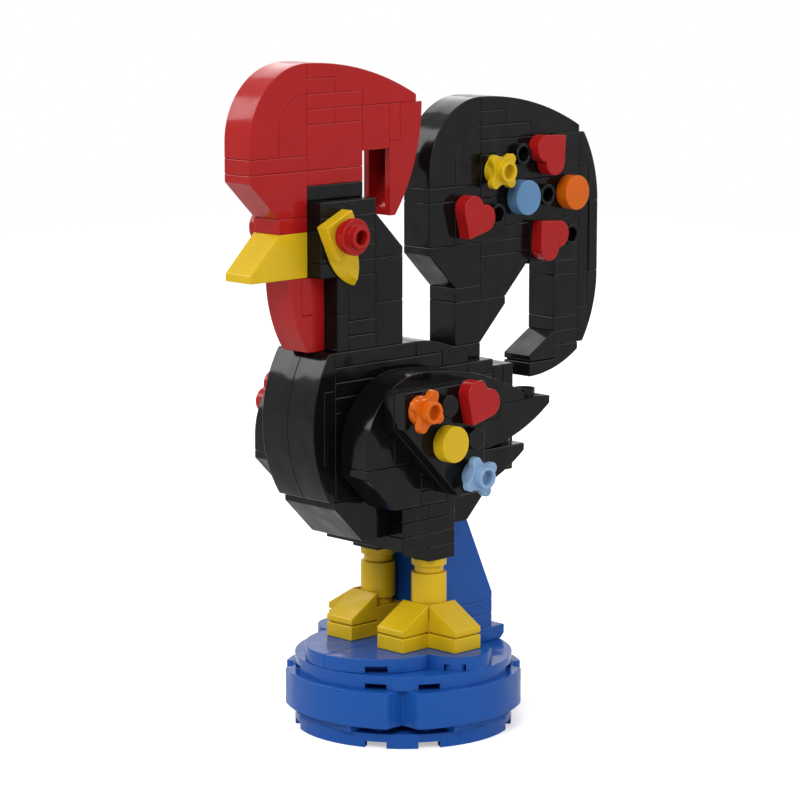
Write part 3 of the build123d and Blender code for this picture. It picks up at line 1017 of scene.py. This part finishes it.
def feather_stud_room(x, top):
    """The room that a feather's stud takes in the feather above it."""
    room = drum(stud_radius + turning_clearance, -sunk, stud_height + turning_gap)
    return wing_stand(room, x + feather_stud_share, top, right, away)


upper_feather = feather(*upper_feather_shares)
lower_feather = feather(*lower_feather_shares)
cut(upper_feather[0], feather_stud_room(*lower_feather_shares))
build_pair("wing_feathers", "black", [join(upper_feather), join(lower_feather)])

# Stud panels: two wedge plates on each wing's outer face, the outer one with studs

panel_face = wing_outer * pitch
panel_outline_shares = [(-1.5, 1.5), (-1.5, 0.5), (0.5, -1.5), (1.5, -1.5), (1.5, 1.5)]
panel_outline = [(x * pitch, y * pitch) for x, y in panel_outline_shares]
panel_stud_shares = [(-1, 1), (0, 1), (1, 1), (0, 0), (1, 0), (1, -1)]


def panel(middle):
    """Both layers of a panel whose middle is at a place in pitches, X and Z."""
    studded = [raised(slab(panel_outline, plate), plate)]
    studded += [moved(stud(), x, y, 2) for x, y in panel_stud_shares]
    place = Vector((middle[0] * pitch, panel_face, middle[1] * pitch))
    return [lay(layer, place, right, up) for layer in (slab(panel_outline, plate), join(studded))]


# The far wing's panel sits further back and lower than the near one's

near_panel = (-1.4, 8.4)
far_panel = (-0.75, 8)
build("wing_panels", "black", panel(near_panel) + [flipped(layer) for layer in panel(far_panel)])

# Ornaments: name, colour, maker, stud's place in X and Z, carrying face, turn in degrees


def side_stud(column, top):
    """The place of a side stud, from its column and the top of its brick."""
    return (column * pitch, top * plate - side_stud_drop)


def panel_stud(middle, x, y):
    """The place of a panel's stud, from the panel's middle."""
    return ((middle[0] + x) * pitch, (middle[1] + y) * pitch)


tail_face = -one_wide * pitch
wing_face = panel_face - 2 * plate
eye_face = -two_wide * pitch
eye_place = side_stud(eye_stud_column, eye_brick_top)

both_sides = [
    ("tail_flower", "yellow", flower, side_stud(3, 39), tail_face, 45),
    ("tail_heart_upper", "red", heart, side_stud(5, 40), tail_face, 41.5),
    ("tail_heart_front", "red", heart, side_stud(2, 36), tail_face, -121),
    ("tail_heart_lower", "red", heart, side_stud(5, 34), tail_face, 132),
    ("tail_tile_middle", "light_blue", round_tile, side_stud(4, 37), tail_face, 0),
    ("tail_tile_rear", "orange", round_tile, side_stud(6, 37), tail_face, 0),
    ("eye_leaf", "yellow", leaf, eye_place, eye_face, -65.4),
    ("eye_disc", "red", round_plate, eye_place, eye_face - plate - turning_gap, 0),
]
near_wing = [
    ("wing_flower_upper", "orange", flower, panel_stud(near_panel, -1, 1), wing_face, -27),
    ("wing_heart", "red", heart, panel_stud(near_panel, 1, 1), wing_face, -121),
    ("wing_tile", "yellow", round_tile, panel_stud(near_panel, 0, 0), wing_face, 0),
    ("wing_flower_lower", "pale_blue", flower, panel_stud(near_panel, 1, -1), wing_face, 25),
]
far_wing = [
    ("wing_flower_upper", "orange", flower, panel_stud(far_panel, 1, 1), wing_face, -16),
    ("wing_heart", "red", heart, panel_stud(far_panel, -1, 1), wing_face, -34),
    ("wing_tile", "yellow", round_tile, panel_stud(far_panel, 0, 0), wing_face, 0),
    ("wing_flower_lower", "pale_blue", flower, panel_stud(far_panel, 1, -1), wing_face, 25),
]


def seated(maker, place, face, turn):
    """An ornament on its stud, a turning gap off the face that carries it."""
    origin = Vector((place[0], face - turning_gap, place[1]))
    return lay(turned(maker(), turn), origin, right, up)


for name, colour, *where in both_sides + near_wing:
    build("near_" + name, colour, [seated(*where)], "near_" + name)
for name, colour, *where in both_sides + far_wing:
    build("far_" + name, colour, [flipped(seated(*where))], "far_" + name)

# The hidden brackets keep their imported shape

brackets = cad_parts["wing_brackets"]
brackets.data.materials.clear()
brackets.data.materials.append(plastics["black"])

# Floor

floor_width = 1.6
floor_tone = 0.78
floor_roughness = 0.8
floor_lift = 0.45


def pale_floor():
    """A pale sheet that is lifted to white where the camera sees it, and keeps its shadow."""
    made = bpy.data.materials.new("pale_floor")
    made.use_nodes = True
    nodes = made.node_tree.nodes
    links = made.node_tree.links
    shader = nodes["Principled BSDF"]
    shader.inputs["Base Color"].default_value = (floor_tone, floor_tone, floor_tone, 1)
    shader.inputs["Roughness"].default_value = floor_roughness
    shader.inputs["Emission Color"].default_value = (1, 1, 1, 1)
    ray = nodes.new("ShaderNodeLightPath")
    lift = nodes.new("ShaderNodeMath")
    lift.operation = "MULTIPLY"
    lift.inputs[1].default_value = floor_lift
    links.new(ray.outputs["Is Camera Ray"], lift.inputs[0])
    links.new(lift.outputs["Value"], shader.inputs["Emission Strength"])
    return made


bpy.ops.object.select_all(action="DESELECT")
bpy.ops.mesh.primitive_plane_add(size=floor_width)
floor = bpy.context.object
floor.name = "floor"
floor.data.materials.append(pale_floor())

# Soft boxes, all aimed at the rooster's middle: name, place, width and height, watts

aim = (0, 0, 0.08)
wide_box = (0.8, 0.8)
window_box = (0.5, 0.77)
lamps = [
    ("front", (-0.9, -0.5, 1.0), wide_box, 14.2),
    ("window", (-0.65, 0.84, 0.85), window_box, 7.8),
    ("right_high", (0.8, -0.8, 0.8), wide_box, 4.7),
    ("near", (0.35, -1.3, 0.45), wide_box, 4.2),
    ("top", (0, 0, 1.4), wide_box, 5.5),
    ("back", (0.6, 0.9, 0.8), wide_box, 3.5),
]


def look(obj, gaze):
    """Turn a lamp or camera to look along a line."""
    obj.rotation_euler = gaze.to_track_quat("-Z", "Y").to_euler()


for name, place, size, watts in lamps:
    light = bpy.data.lights.new(name, "AREA")
    light.shape = "RECTANGLE"
    light.size, light.size_y = size
    light.energy = watts
    lamp = bpy.data.objects.new(name, light)
    bpy.context.scene.collection.objects.link(lamp)
    lamp.location = place
    look(lamp, Vector(aim) - Vector(place))

# World: a faint fill, white to the camera and in the plastic's reflections

sky_fill = 0.03
sky_seen = 1.0

world = bpy.data.worlds.new("studio")
bpy.context.scene.world = world
world.use_nodes = True
sky = world.node_tree.nodes
sky_links = world.node_tree.links
ray = sky.new("ShaderNodeLightPath")
background = sky["Background"]
background.inputs["Color"].default_value = (1, 1, 1, 1)
seen = sky.new("ShaderNodeMath")
seen.operation = "MAXIMUM"
sky_links.new(ray.outputs["Is Camera Ray"], seen.inputs[0])
sky_links.new(ray.outputs["Is Glossy Ray"], seen.inputs[1])
strength = sky.new("ShaderNodeMapRange")
strength.inputs["To Min"].default_value = sky_fill
strength.inputs["To Max"].default_value = sky_seen
sky_links.new(seen.outputs["Value"], strength.inputs["Value"])
sky_links.new(strength.outputs["Result"], background.inputs["Strength"])

# Camera, fitted to the photo's brick corners: angles in radians, lens and film in millimetres

camera_place = (-0.48311, -0.49051, 0.18973)
camera_heading = 0.794058
camera_tilt = -0.169184
camera_lens = 143.647
camera_film = 36
camera_clip = 0.01

camera_data = bpy.data.cameras.new("camera")
camera_data.lens = camera_lens
camera_data.sensor_width = camera_film
camera_data.clip_start = camera_clip
camera = bpy.data.objects.new("camera", camera_data)
bpy.context.scene.collection.objects.link(camera)
camera.location = camera_place
level_run = math.cos(camera_tilt)
gaze_x = level_run * math.cos(camera_heading)
gaze_y = level_run * math.sin(camera_heading)
look(camera, Vector((gaze_x, gaze_y, math.sin(camera_tilt))))
bpy.context.scene.camera = camera
bpy.context.scene.view_settings.view_transform = "Standard"
